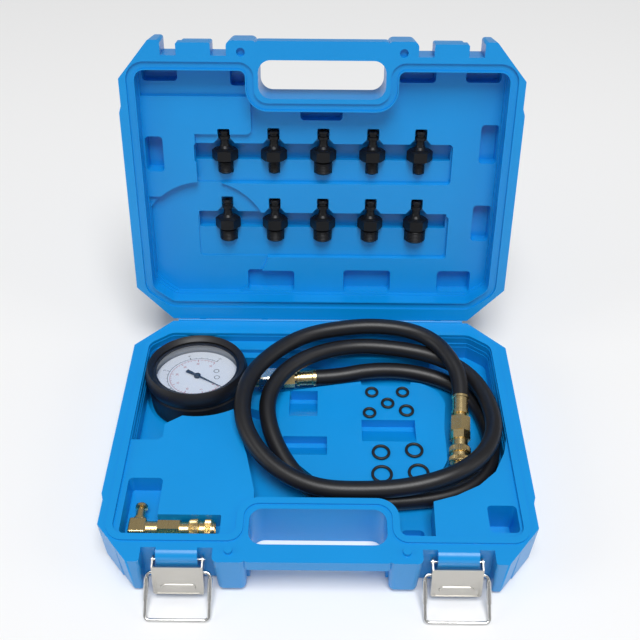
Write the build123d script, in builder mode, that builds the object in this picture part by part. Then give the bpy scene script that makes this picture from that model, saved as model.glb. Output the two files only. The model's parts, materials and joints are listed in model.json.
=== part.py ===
from build123d import *
import os
from math import acos, atan2, cos, pi, radians, sin, tan

os.makedirs("parts", exist_ok=True)

# Engine oil pressure tester in its blow-moulded carrying case, in millimetres.
# The origin is the centre of the base's underside, +X to the right, +Y to the
# hinge, +Z up. Both halves of the case are drawn in their own rim plane, where
# x is across the case, y is the distance from the hinge and z is the depth.

# Case, driving sizes
case_half_width = 145.0
case_length = 218.8
base_height = 38.0
lid_depth = 28.0
rim_gap = 0.2
lid_open_deg = 105.26
shell_draft = 1.5
hinge_y = 108.75
hinge_gap = 1.2
hinge_bead_radius = 1.0
hinge_half_length = 114.0

# Case, outline of the rim
back_half_width = 118.0
back_chamfer_end = 28.6
side_step_start = 168.0
side_step_end = 173.0
front_half_width = 143.4
front_chamfer_start = 192.2
front_wall = 208.6
front_chamfer_half_width = 129.5

# Case, seal between the halves
tongue_outer_half = 137.9
tongue_width = 4.6
tongue_height = 1.3
groove_depth = 1.8
groove_clearance = 0.3
tongue_back = 11.6
tongue_front = 204.0
tongue_back_half = 118.5
tongue_back_chamfer = 26.0
tongue_back_radius = 14.0
tongue_front_radius = 13.0
tongue_slot_radius = 10.0

# Case, handle
handle_slot_half = 45.0
handle_slot_back = 178.9
handle_slot_front = 205.8
handle_slot_radius = 9.0
handle_bar_half = 47.0
handle_bar_thickness = 9.0
handle_wall = 3.6

# Case, latch bays
latch_x = 89.7
latch_bay_half = 22.9
base_block_half = 13.2
lid_block_half = 12.0
base_block_top = 210.5
base_block_shoulder = (214.0, 2.4)
base_block_front = 214.9
base_block_upper = 6.5
base_block_lower = 11.0
base_block_foot = 214.2
guard_front = 219.0
guard_inner_half = 45.2
guard_back = 195.0
guard_draft = 2.5
guard_radius = 4.0
horn_radius = 2.0
bar_radius = 3.0
bay_radius = 1.5

# Case, pegs and peg holes
peg_x = 56.7
peg_v = 211.1
peg_radius = 2.6
peg_height = 2.4
peg_clearance = 0.4

# Base, stops for the open lid
stop_rib_x = (-95.0, -45.0, 45.0, 95.0)
stop_rib_width = 5.0

# Base, tray levels measured down from the rim
plateau_depth = 1.5
island_depth = 12.0
channel_depth = 22.3
ledge_depth = 7.0
second_ledge_depth = 10.5
elbow_floor_depth = 14.9
deep_pocket_depth = 24.0

# Lid, levels measured from its rim
lid_raised_depth = 13.0
lid_floor_depth = 16.0
lid_row_depth = 20.0
lid_pocket_depth = 25.0
lid_wall_inset = 5.6
lid_gauge_depth = 19.0
lid_gauge_x = -90.0
lid_gauge_v = 62.0
lid_gauge_radius = 50.0
lid_raised_boxes = ((-140.0, -52.0, 149.0, 177.0), (-140.0, -94.0, 100.0, 160.0))
lid_raised_radius = 4.0
lid_row_boxes = ((-96.0, 98.0, 110.0, 141.5), (-96.0, 99.0, 48.5, 84.5))
lid_pocket_boxes = (
    (-130.0, -104.0, 187.0, 197.0),
    (-66.5, -53.8, 184.0, 198.0),
    (-16.0, 15.5, 159.0, 168.0),
    (54.6, 82.0, 187.0, 198.2),
    (103.0, 129.0, 187.5, 196.0),
    (-131.2, -118.0, 120.0, 147.0),
    (117.6, 131.2, 127.0, 157.0),
    (117.0, 131.2, 64.0, 94.0),
    (-59.0, -21.0, 18.6, 37.0),
    (18.0, 56.0, 18.6, 38.0),
    (93.0, 120.0, 19.0, 38.0),
)

# Gauge, in its own tipped plane through the middle of the boot's lip
gauge_x = -93.7
gauge_v = 53.9
gauge_z = 36.6
gauge_tilt_deg = 9.0
gauge_turn_deg = 4.0
boot_radius = 38.7
boot_lip_top = 6.4
boot_lip_radius = 36.5
boot_opening = 32.4
boot_opening_top = 3.5
boot_crease = 8.4
boot_body_radius = 37.1
boot_bottom = 27.5
boot_wall = 2.0
gauge_case_radius = 34.0
gauge_wall = 1.0
case_rim = -0.4
bezel_radius = 35.2
bezel_top = 2.8
bezel_edge = 2.0
bezel_under = 1.1
bezel_bottom = -2.1
dial_opening_radius = 30.3
lens_thickness = 1.4
dial_radius = 31.5
dial_level = -6.3
dial_thickness = 0.6
pointer_level = -4.9
pointer_length = 24.0
pointer_tail = 10.5
pointer_shaft_radius = 0.8
pointer_zero_deg = -38.0
movement_top = -7.0
socket_bottom = -20.0
socket_inner = 20.0
socket_width = 12.0
tube_radius = 26.0
tube_thickness = 2.4
tube_bottom = -17.0
tube_height = 7.0
stem_level = -11.0
stem_radius = 4.0
stem_thread_radius = 4.8
stem_end = 56.0
adapter_start = 47.0
adapter_end = 66.0

# Hose and its end fittings, lengths along the hose
hose_radius = 6.15
ferrule_radius = 6.3
ferrule_length = 15.0
collar_length = 1.6
fitting_hex_flats = 12.4
hose_end_on_gauge_axis = 91.0
hose_route = (
    (39.6, 66.1, 26.5),
    (69.6, 67.5, 24.5),
    (99.0, 59.5, 22.0),
    (118.0, 40.0, 22.0),
    (125.4, 12.0, 22.0),
    (124.8, -14.0, 22.0),
    (114.0, -34.5, 22.0),
    (92.0, -47.6, 22.0),
    (56.0, -53.0, 22.0),
    (24.0, -53.2, 22.0),
    (-4.0, -47.0, 22.5),
    (-24.0, -24.0, 27.0),
    (-36.5, 2.0, 34.0),
    (-39.0, 27.0, 38.8),
    (-27.0, 52.0, 41.2),
    (-4.0, 70.0, 41.0),
    (27.0, 81.0, 38.5),
    (58.0, 80.0, 37.2),
    (88.0, 74.0, 35.8),
    (113.0, 57.0, 35.5),
    (125.4, 28.0, 36.0),
    (126.6, -2.0, 38.0),
    (114.0, -28.0, 41.0),
    (92.0, -45.0, 42.0),
    (62.0, -53.0, 39.0),
    (30.0, -54.0, 36.4),
    (-2.0, -52.0, 35.6),
    (-30.0, -38.0, 38.0),
    (-49.0, -16.0, 43.0),
    (-56.5, 7.9, 47.5),
    (-52.4, 37.4, 49.8),
    (-34.5, 64.0, 49.0),
    (-9.9, 83.3, 48.4),
    (22.0, 92.1, 47.6),
    (46.0, 94.0, 47.4),
    (71.4, 89.5, 47.4),
    (88.5, 78.5, 46.8),
    (98.6, 62.5, 45.6),
)

# Coupler on the hose's free end
coupler_start = (104.3, 29.5, 38.0)
coupler_drop_deg = 14.6
coupler_yaw_deg = 4.7
coupler_collar_length = 3.0
coupler_hex_length = 11.1
coupler_hex_flats = 13.6
coupler_hex_turn_deg = 30.0
coupler_nut_length = 6.3
coupler_nut_turn_deg = 16.0
coupler_neck_radius = 5.6
coupler_neck_length = 5.3
sleeve_radius = 7.5
sleeve_length = 12.5
sleeve_travel = 3.0
tip_radius = 5.0
tip_length = 5.0
socket_radius = 4.15
socket_depth = 14.0

# Elbow assembly in the front left pocket
elbow_x = -118.2
elbow_v = 190.2
elbow_z = 30.0
elbow_body = 11.6
elbow_hex_flats = 11.4
elbow_arm = 13.2
elbow_nut_length = 7.3
elbow_neck_length = 5.8
elbow_neck_radius = 4.9
elbow_sleeve_length = 16.0
elbow_sleeve_radius = 6.5
nipple_radius = 3.0
nipple_reach = 19.0

# Latches
wire_radius = 1.2
sheet = 1.0
latch_pin_radius = 1.1
latch_pin_v = 211.0
latch_pin_z = 27.8
lever_half_width = 16.5
lever_face = 6.3
lever_top = 1.2
lever_length = 24.0
lever_tilt_deg = 16.0
ear_radius = 2.4
lever_recess = (14.6, 8.6, 23.4, 0.35)
lever_boss = (18.3, 23.0, 6.0)
bail_half_width = 20.6
bail_crimp = (3.5, 18.0, 1.6)
bail_end = 15.2
bail_bend = 3.0
bail_along = 9.5
bail_out = 1.5
bail_reach = 29.82
catch_lip = 1.2
catch_lip_end = 8.2
catch_groove_front = 216.2

# Adapters, measured along their axis from the hex's lower face
adapter_xs = (-72.5, -35.8, 1.2, 38.1, 73.6)
adapter_axis_depth = 18.5
adapter_hex_flats = 17.0
adapter_hex_length = 8.0
adapter_thread_length = 10.5
adapter_cone_length = 4.5
adapter_neck_length = 3.5
adapter_nipple_length = 6.5
adapter_nipple_radius = 4.2
adapter_neck_radius = 3.1
adapter_hex_chamfer = 0.8
adapter_flare_radius = 7.2
row_hex_v = (128.6, 73.8)
thread_radii = ((5.4, 4.0, 6.5, 4.5, 4.0), (6.5, 6.5, 6.8, 6.5, 7.8))

# Spare sealing rings, (x, distance from the hinge, outer radius)
ring_wire_radius = 1.05
small_rings = (
    (39.7, 66.0, 5.15),
    (63.1, 65.7, 5.15),
    (51.3, 76.9, 5.15),
    (37.4, 86.3, 5.15),
    (65.0, 83.9, 5.75),
)
medium_rings = ((44.4, 123.0, 6.7), (68.2, 120.9, 6.7))
large_rings = ((44.3, 142.1, 7.65), (70.0, 140.5, 7.65))

# Running clearance of a pin in its hole, and of a piece in its seat
pin_clearance = 0.05
seat_gap = 0.2

BASE = Plane(origin=(0, hinge_y, base_height), x_dir=(1, 0, 0), z_dir=(0, 0, -1))
phi = radians(180 - lid_open_deg)
LID = Plane(
    origin=(0, hinge_y, base_height), x_dir=(-1, 0, 0), z_dir=(0, sin(phi), -cos(phi))
)

tilt = radians(gauge_tilt_deg)
turn = radians(gauge_turn_deg)
GAUGE = Plane(
    origin=(gauge_x, hinge_y - gauge_v, gauge_z),
    x_dir=(cos(turn), sin(turn) * cos(tilt), -sin(turn) * sin(tilt)),
    z_dir=(0, sin(tilt), cos(tilt)),
)
STEM = Plane(
    origin=GAUGE.from_local_coords((0, 0, stem_level)), x_dir=GAUGE.y_dir, z_dir=GAUGE.x_dir
)
drop = radians(coupler_drop_deg)
yaw = radians(coupler_yaw_deg)
COUPLER = Plane(
    origin=coupler_start,
    x_dir=(cos(yaw), -sin(yaw), 0),
    z_dir=(-sin(yaw) * cos(drop), -cos(yaw) * cos(drop), -sin(drop)),
)
ELBOW = Plane(origin=(elbow_x, hinge_y - elbow_v, elbow_z), x_dir=(0, 1, 0), z_dir=(1, 0, 0))


def save(piece, name):
    """Label a finished piece and write it."""
    piece.part.label = name
    export_step(piece.part, f"parts/{name}.step")


def mirrored_outline(points, radii=None, mode=Mode.ADD):
    """A face from the right half of an outline, mirrored about the centre line."""
    with BuildLine() as outline:
        if radii:
            FilletPolyline(*points, radius=radii)
        else:
            Polyline(*points)
        mirror(about=Plane.YZ)
    make_face(outline.edges(), mode=mode)


def body_outline():
    """The case's rim without its front blocks."""
    mirrored_outline(
        [
            (0, hinge_gap),
            (back_half_width, hinge_gap),
            (case_half_width, back_chamfer_end),
            (case_half_width, side_step_start),
            (front_half_width, side_step_end),
            (front_half_width, front_chamfer_start),
            (front_chamfer_half_width, front_wall),
            (0, front_wall),
        ]
    )


def tray_outline(inset, mode=Mode.ADD):
    """The seal's outer line, moved in by an inset."""
    side = tongue_outer_half - inset
    back = tongue_back + inset
    front = tongue_front - inset
    slot_side = handle_slot_half + handle_wall + inset
    slot_back = handle_slot_back - handle_wall - inset
    slope = atan2(tongue_back_chamfer - tongue_back, tongue_outer_half - tongue_back_half)
    mirrored_outline(
        [
            (0, back),
            (tongue_back_half - inset * tan(slope / 2), back),
            (side, tongue_back_chamfer + inset * tan(pi / 4 - slope / 2)),
            (side, front),
            (slot_side, front),
            (slot_side, slot_back),
            (0, slot_back),
        ],
        [
            tongue_back_radius - inset,
            tongue_back_radius - inset,
            tongue_front_radius - inset,
            tongue_slot_radius - inset,
            tongue_slot_radius + inset,
        ],
        mode,
    )


def rectangle(x0, x1, v0, v1, radius=0.0):
    """A rounded rectangle between two corners."""
    with Locations(((x0 + x1) / 2, (v0 + v1) / 2)):
        if radius:
            RectangleRounded(x1 - x0, v1 - v0, radius)
        else:
            Rectangle(x1 - x0, v1 - v0)


def guard(plane, depth, corners, radius):
    """A block beside a latch that narrows away from the rim, its free edges rounded."""
    with BuildPart(mode=Mode.PRIVATE) as block:
        with BuildSketch(plane) as foot:
            with BuildLine() as edge:
                Polyline(*corners, close=True)
            make_face(edge.edges())
        extrude(foot.sketch, amount=depth, taper=guard_draft)
        rim_edges = block.faces().sort_by(Axis(plane.origin, plane.z_dir))[0].edges()
        fillet(block.edges() - rim_edges, radius=radius)
    add(block.part)


def front_blocks(plane, depth):
    """Handle bar, and the guards on both sides of each latch, along the front of one half."""
    with BuildSketch(plane) as bar:
        rectangle(-handle_bar_half, handle_bar_half, handle_slot_back, case_length, bar_radius)
    extrude(bar.sketch, amount=handle_bar_thickness)
    bay_inner = latch_x - latch_bay_half
    bay_outer = latch_x + latch_bay_half
    chamfer_run = (front_half_width - front_chamfer_half_width) / (front_wall - front_chamfer_start)
    horn = front_chamfer_half_width - chamfer_run * (guard_front - front_wall)
    for side in (-1, 1):
        inner_guard = [
            (side * guard_inner_half, guard_back),
            (side * guard_inner_half, guard_front),
            (side * bay_inner, guard_front),
            (side * bay_inner, guard_back),
        ]
        guard(plane, depth, inner_guard, guard_radius)
        outer_guard = [
            (side * bay_outer, guard_back),
            (side * bay_outer, guard_front),
            (side * horn, guard_front),
            (side * front_chamfer_half_width, front_wall),
            (side * front_chamfer_half_width, guard_back),
        ]
        guard(plane, depth, outer_guard, horn_radius)


def handle_slot(plane, depth):
    """The finger slot through one half, open to the front under the handle bar."""
    over = tongue_height + 1
    sides = (-handle_slot_half, handle_slot_half)
    with BuildSketch(plane.offset(-over)) as slot:
        rectangle(*sides, handle_slot_back, handle_slot_front, handle_slot_radius)
    extrude(slot.sketch, amount=depth + 2 * over, mode=Mode.SUBTRACT)
    with BuildSketch(plane.offset(handle_bar_thickness)) as under_bar:
        rectangle(*sides, handle_slot_back, guard_front + handle_slot_radius, handle_slot_radius)
    extrude(under_bar.sketch, amount=depth, mode=Mode.SUBTRACT)


def pockets(plane, start, depth, boxes, radius=3.0, draft=4.0):
    """Drafted rectangular pockets from one level down to another."""
    with BuildSketch(plane.offset(start)) as mouths:
        for box in boxes:
            rectangle(*box, radius)
    extrude(mouths.sketch, amount=depth - start, taper=draft, mode=Mode.SUBTRACT)


def on_lid(*boxes):
    """Boxes given by their place in the kit, turned for the lid's drawing plane."""
    return [(-x1, -x0, v0, v1) for x0, x1, v0, v1 in boxes]


def turned(place, *points):
    """A turned piece about a plane's normal, from (radius, height) points."""
    with BuildSketch(Plane(place.origin, x_dir=place.x_dir, z_dir=-place.y_dir)) as section:
        with BuildLine() as edge:
            Polyline(*points, close=True)
        make_face(edge.edges())
    revolve(section.sketch, axis=Axis(place.origin, place.z_dir))


def hexagon(place, start, length, flats, turn_deg=0.0):
    """A hexagonal length of a fitting."""
    with BuildSketch(place.offset(start)) as section:
        RegularPolygon(flats / 2, 6, major_radius=False, rotation=turn_deg)
    extrude(section.sketch, amount=length)


def bore(place, start, length, radius):
    """A round hole along a fitting."""
    with BuildSketch(place.offset(start)) as mouth:
        Circle(radius)
    extrude(mouth.sketch, amount=length, mode=Mode.SUBTRACT)


def ramp(start, depth, x0, x1, v0, v1):
    """A scoop in the base with a steep back wall and a floor that climbs to the front."""
    with BuildSketch(Plane.YZ.offset(x0)) as side:
        with BuildLine() as edge:
            Polyline(
                (hinge_y - v0, base_height - start + 1),
                (hinge_y - v0, base_height - depth),
                (hinge_y - v0 - 4.0, base_height - depth),
                (hinge_y - v1, base_height - start),
                (hinge_y - v1, base_height - start + 1),
                close=True,
            )
        make_face(edge.edges())
    extrude(side.sketch, amount=x1 - x0, mode=Mode.SUBTRACT)


def left_plateau():
    """High ground between the gauge, the elbow pocket and the handle."""
    with BuildLine() as edge:
        Polyline(
            (-62.8, 92.2),
            (-60.2, 102.0),
            (-50.3, 133.5),
            (-43.4, 163.0),
            (-41.0, 206.0),
            (-140.0, 206.0),
            (-140.0, 121.0),
            (-114.0, 121.0),
            (-111.0, 118.0),
            (-111.0, 106.4),
            (-99.3, 98.7),
        )
        ThreePointArc((-99.3, 98.7), (-80.0, 98.4), (-62.8, 92.2))
    make_face(edge.edges())


def right_plateau():
    """High ground outside the coil, front right."""
    with BuildLine() as edge:
        Polyline(
            (140.0, 112.0),
            (133.0, 117.0),
            (129.8, 130.0),
            (121.8, 146.0),
            (109.2, 157.6),
            (93.0, 166.0),
            (77.0, 171.0),
            (76.0, 206.0),
            (140.0, 206.0),
            close=True,
        )
    make_face(edge.edges())


def island():
    """Middle ground inside the coil, where the spare rings lie."""
    with BuildLine() as edge:
        Polyline((-52.0, 70.0), (-24.0, 65.0), (-1.2, 60.2), (31.0, 54.4), (70.0, 54.8))
        ThreePointArc((70.0, 54.8), (86.0, 60.5), (94.6, 76.0))
        Polyline((94.6, 76.0), (91.8, 100.0), (91.4, 128.0))
        ThreePointArc((91.4, 128.0), (76.5, 147.0), (52.0, 153.0))
        Polyline((52.0, 153.0), (2.0, 149.0), (-14.0, 134.0), (-22.5, 120.0), (-31.0, 104.0))
        Polyline((-31.0, 104.0), (-36.0, 88.0), (-52.0, 82.0), (-52.0, 70.0))
    make_face(edge.edges())


# Base of the case
with BuildPart() as case_base:
    with BuildSketch(BASE):
        body_outline()
    extrude(amount=base_height, taper=shell_draft)
    fillet(case_base.faces().sort_by(Axis.Z)[0].edges(), radius=3.0)
    front_blocks(BASE, base_height - 1.0)
    for side in (-1, 1):
        with BuildSketch(Plane.YZ.offset(side * latch_x - base_block_half)):
            with BuildLine() as edge:
                top = (hinge_y - base_block_top, base_height)
                shoulder = (hinge_y - base_block_shoulder[0], base_height - base_block_shoulder[1])
                upper = (hinge_y - base_block_front, base_height - base_block_upper)
                ThreePointArc(top, shoulder, upper)
                Polyline(
                    upper,
                    (hinge_y - base_block_front, base_height - base_block_lower),
                    (hinge_y - base_block_foot, 1.0),
                    (hinge_y - guard_back, 1.0),
                    (hinge_y - guard_back, base_height),
                    top,
                )
            make_face(edge.edges())
        extrude(amount=2 * base_block_half)

    with BuildSketch(BASE):
        tray_outline(0)
    extrude(amount=-tongue_height)
    with BuildSketch(BASE.offset(-tongue_height)):
        tray_outline(tongue_width)
    extrude(amount=tongue_height + plateau_depth, mode=Mode.SUBTRACT)

    with BuildSketch(BASE.offset(plateau_depth)):
        tray_outline(tongue_width + 0.5)
        with BuildSketch(mode=Mode.PRIVATE) as high_ground:
            left_plateau()
            right_plateau()
        add(high_ground.sketch, mode=Mode.SUBTRACT)
    extrude(amount=ledge_depth - plateau_depth, mode=Mode.SUBTRACT)

    with BuildSketch(BASE.offset(ledge_depth)):
        rectangle(-134.0, 88.0, 26.0, 206.0)
        rectangle(87.0, 134.0, 17.5, 206.0)
        with BuildSketch(mode=Mode.PRIVATE) as tray_limit:
            tray_outline(tongue_width + 0.9)
        add(tray_limit.sketch, mode=Mode.INTERSECT)
        add(high_ground.sketch, mode=Mode.SUBTRACT)
    extrude(amount=second_ledge_depth - ledge_depth, mode=Mode.SUBTRACT)

    with BuildSketch(BASE.offset(second_ledge_depth)):
        rectangle(-134.0, 88.0, 31.5, 206.0)
        rectangle(87.0, 134.0, 18.0, 206.0)
        with BuildSketch(mode=Mode.PRIVATE) as deep_limit:
            tray_outline(tongue_width + 1.3)
        add(deep_limit.sketch, mode=Mode.INTERSECT)
        add(high_ground.sketch, mode=Mode.SUBTRACT)
    extrude(amount=island_depth - second_ledge_depth, mode=Mode.SUBTRACT)

    with BuildSketch(BASE.offset(island_depth)):
        rectangle(-134.0, 88.0, 31.5, 206.0)
        rectangle(87.0, 134.0, 18.0, 206.0)
        add(deep_limit.sketch, mode=Mode.INTERSECT)
        add(high_ground.sketch, mode=Mode.SUBTRACT)
        with BuildSketch(mode=Mode.PRIVATE) as middle_ground:
            island()
        add(middle_ground.sketch, mode=Mode.SUBTRACT)
    extrude(amount=channel_depth - island_depth, mode=Mode.SUBTRACT)

    # Gauge well, tipped like the gauge
    with BuildPart(mode=Mode.PRIVATE) as well:
        with BuildSketch(GAUGE.offset(-boot_bottom - seat_gap)):
            Circle(boot_radius + 0.4)
        extrude(amount=boot_bottom + 16.0)
        with BuildSketch(BASE.offset(-tongue_height)):
            tray_outline(0)
            tray_outline(tongue_width, Mode.SUBTRACT)
        extrude(amount=tongue_height + plateau_depth, mode=Mode.SUBTRACT)
    add(well.part, mode=Mode.SUBTRACT)

    # Hollow under the gauge's fittings
    pockets(BASE, channel_depth, channel_depth + 1.2, [(-56.0, -1.0, 37.0, 58.0)])

    # Elbow pocket and its long arm
    pockets(BASE, plateau_depth, elbow_floor_depth, [(-129.0, -105.6, 154.0, 197.4)])
    pockets(BASE, plateau_depth, elbow_floor_depth, [(-120.0, -63.6, 183.1, 197.4)], 1.0, 0.0)

    # Finger pockets in the right plateau and beside the handle
    pockets(BASE, plateau_depth, deep_pocket_depth, [(112.0, 131.5, 173.8, 194.6)])
    pockets(BASE, channel_depth, deep_pocket_depth + 4, [(56.6, 71.6, 180.0, 196.0)])

    # Scoops in the island
    pockets(BASE, island_depth, channel_depth - 1, [(31.8, 69.8, 49.0, 58.6)], 2.5)
    ramp(island_depth, channel_depth - 2, 31.2, 70.6, 92.4, 112.4)
    ramp(island_depth, channel_depth - 2, -26.0, 5.8, 108.4, 125.0)
    ramp(island_depth, channel_depth, -22.5, -1.4, 64.5, 89.2)

    handle_slot(BASE, base_height)

    # Pegs that enter the lid
    with BuildSketch(BASE):
        with Locations((-peg_x, peg_v), (peg_x, peg_v)):
            Circle(peg_radius)
    extrude(amount=-peg_height)

    # Holes for the latch pins
    for side in (-1, 1):
        with BuildSketch(Plane.YZ.offset(side * latch_x - base_block_half - 1)):
            with Locations((hinge_y - latch_pin_v, latch_pin_z)):
                Circle(latch_pin_radius + pin_clearance)
        extrude(amount=2 * base_block_half + 2, mode=Mode.SUBTRACT)

    # Stops that the open lid leans on
    for x in stop_rib_x:
        with BuildSketch(Plane.YZ.offset(x - stop_rib_width / 2)):
            with BuildLine() as edge:
                Polyline(
                    (hinge_y - 2.0, base_height - 1.4),
                    (hinge_y + 8.0, base_height - 1.0),
                    (hinge_y - 2.0, base_height - 16.0),
                    close=True,
                )
            make_face(edge.edges())
        extrude(amount=stop_rib_width)

save(case_base, "case_base")

# Bead that joins the halves at the back
with BuildPart() as case_hinge:
    with BuildSketch(Plane.YZ.offset(-hinge_half_length)):
        with Locations((hinge_y, base_height)):
            Circle(hinge_bead_radius)
        with Locations((hinge_y - hinge_gap / 2, base_height - hinge_bead_radius / 2)):
            Rectangle(hinge_gap, hinge_bead_radius)
    extrude(amount=2 * hinge_half_length)
save(case_hinge, "case_hinge")

# Lid of the case
with BuildPart() as case_lid:
    with BuildSketch(LID.offset(rim_gap)):
        body_outline()
    extrude(amount=lid_depth - rim_gap, taper=shell_draft)
    outer_face = case_lid.faces().sort_by(Axis(LID.origin, LID.z_dir))[-1]
    fillet(outer_face.edges(), radius=3.0)
    front_blocks(LID.offset(rim_gap), lid_depth - rim_gap - 1)
    for x in (-latch_x, latch_x):
        catch_block = [
            (x - lid_block_half, guard_back),
            (x - lid_block_half, catch_groove_front),
            (x + lid_block_half, catch_groove_front),
            (x + lid_block_half, guard_back),
        ]
        guard(LID.offset(rim_gap), lid_depth - rim_gap - 1, catch_block, bay_radius)
    with BuildSketch(LID.offset(rim_gap)):
        for side in (-1, 1):
            x = side * latch_x
            front = catch_groove_front + catch_lip
            rectangle(x - lid_block_half, x + lid_block_half, 205.0, front, bay_radius)
    extrude(amount=catch_lip_end - rim_gap)

    # Groove for the base's tongue, and the hollow inside it
    with BuildSketch(LID):
        tray_outline(-groove_clearance)
        tray_outline(tongue_width + groove_clearance, Mode.SUBTRACT)
    extrude(amount=groove_depth, mode=Mode.SUBTRACT)
    with BuildSketch(LID):
        tray_outline(lid_wall_inset)
    extrude(amount=lid_raised_depth, mode=Mode.SUBTRACT)
    with BuildSketch(LID.offset(lid_raised_depth)):
        tray_outline(lid_wall_inset + 0.8)
        with BuildSketch(mode=Mode.PRIVATE) as raised:
            for box in on_lid(*lid_raised_boxes):
                rectangle(*box, lid_raised_radius)
        add(raised.sketch, mode=Mode.SUBTRACT)
    extrude(amount=lid_floor_depth - lid_raised_depth, mode=Mode.SUBTRACT)

    # Room for the gauge
    with BuildSketch(LID.offset(lid_raised_depth)):
        with Locations((-lid_gauge_x, lid_gauge_v)):
            Circle(lid_gauge_radius)
        with BuildSketch(mode=Mode.PRIVATE) as wall_line:
            tray_outline(lid_wall_inset + 1.2)
        add(wall_line.sketch, mode=Mode.INTERSECT)
    extrude(amount=lid_gauge_depth - lid_raised_depth, mode=Mode.SUBTRACT)

    pockets(LID, lid_raised_depth, lid_pocket_depth, on_lid(*lid_pocket_boxes))

    # Rows for the adapters: a shallow tray, a channel for the hexagons, a slot for each nipple
    pockets(LID, lid_floor_depth, lid_row_depth, on_lid(*lid_row_boxes))
    axis_depth = adapter_axis_depth
    neck_start = adapter_hex_length + adapter_cone_length
    nipple_end = neck_start + adapter_neck_length + adapter_nipple_length
    hex_boxes = []
    nipple_boxes = []
    for v in row_hex_v:
        hex_boxes.append((lid_row_boxes[0][0] + 1, lid_row_boxes[0][1] - 1, v - 0.8, v + 12.6))
        for x in adapter_xs:
            nipple_boxes.append((x - 4.5, x + 4.5, v + 10.0, v + nipple_end + 2.0))
    hex_bottom = axis_depth + adapter_hex_flats / 2 + seat_gap / 2
    pockets(LID, lid_raised_depth, hex_bottom, on_lid(*hex_boxes), 1.0, 0.0)
    nipple_bottom = axis_depth + adapter_nipple_radius + seat_gap / 2
    pockets(LID, lid_raised_depth, nipple_bottom, on_lid(*nipple_boxes), 1.0, 0.0)
    with BuildSketch(LID.offset(lid_raised_depth)):
        for v in row_hex_v:
            for x in adapter_xs:
                with BuildLine() as edge:
                    Polyline(
                        (-x - 11.0, v + 11.0),
                        (-x - 8.0, v + neck_start + 0.2),
                        (-x - 4.3, v + neck_start + 4.4),
                        (-x + 4.3, v + neck_start + 4.4),
                        (-x + 8.0, v + neck_start + 0.2),
                        (-x + 11.0, v + 11.0),
                        close=True,
                    )
                make_face(edge.edges())
    extrude(amount=nipple_bottom - lid_raised_depth, mode=Mode.SUBTRACT)
    for v, radii in zip(row_hex_v, thread_radii):
        for x, radius in zip(adapter_xs, radii):
            box = (x - radius - 0.4, x + radius + 0.4, v - adapter_thread_length - 0.8, v + 1.0)
            depth = max(axis_depth + radius + seat_gap, lid_row_depth + 0.5)
            pockets(LID, lid_floor_depth, depth, on_lid(box), 0.8, 0.0)

    handle_slot(LID, lid_depth)
    with BuildSketch(LID):
        with Locations((-peg_x, peg_v), (peg_x, peg_v)):
            Circle(peg_radius + peg_clearance)
    extrude(amount=peg_height + rim_gap + 0.4, mode=Mode.SUBTRACT)
save(case_lid, "case_lid")

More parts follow.
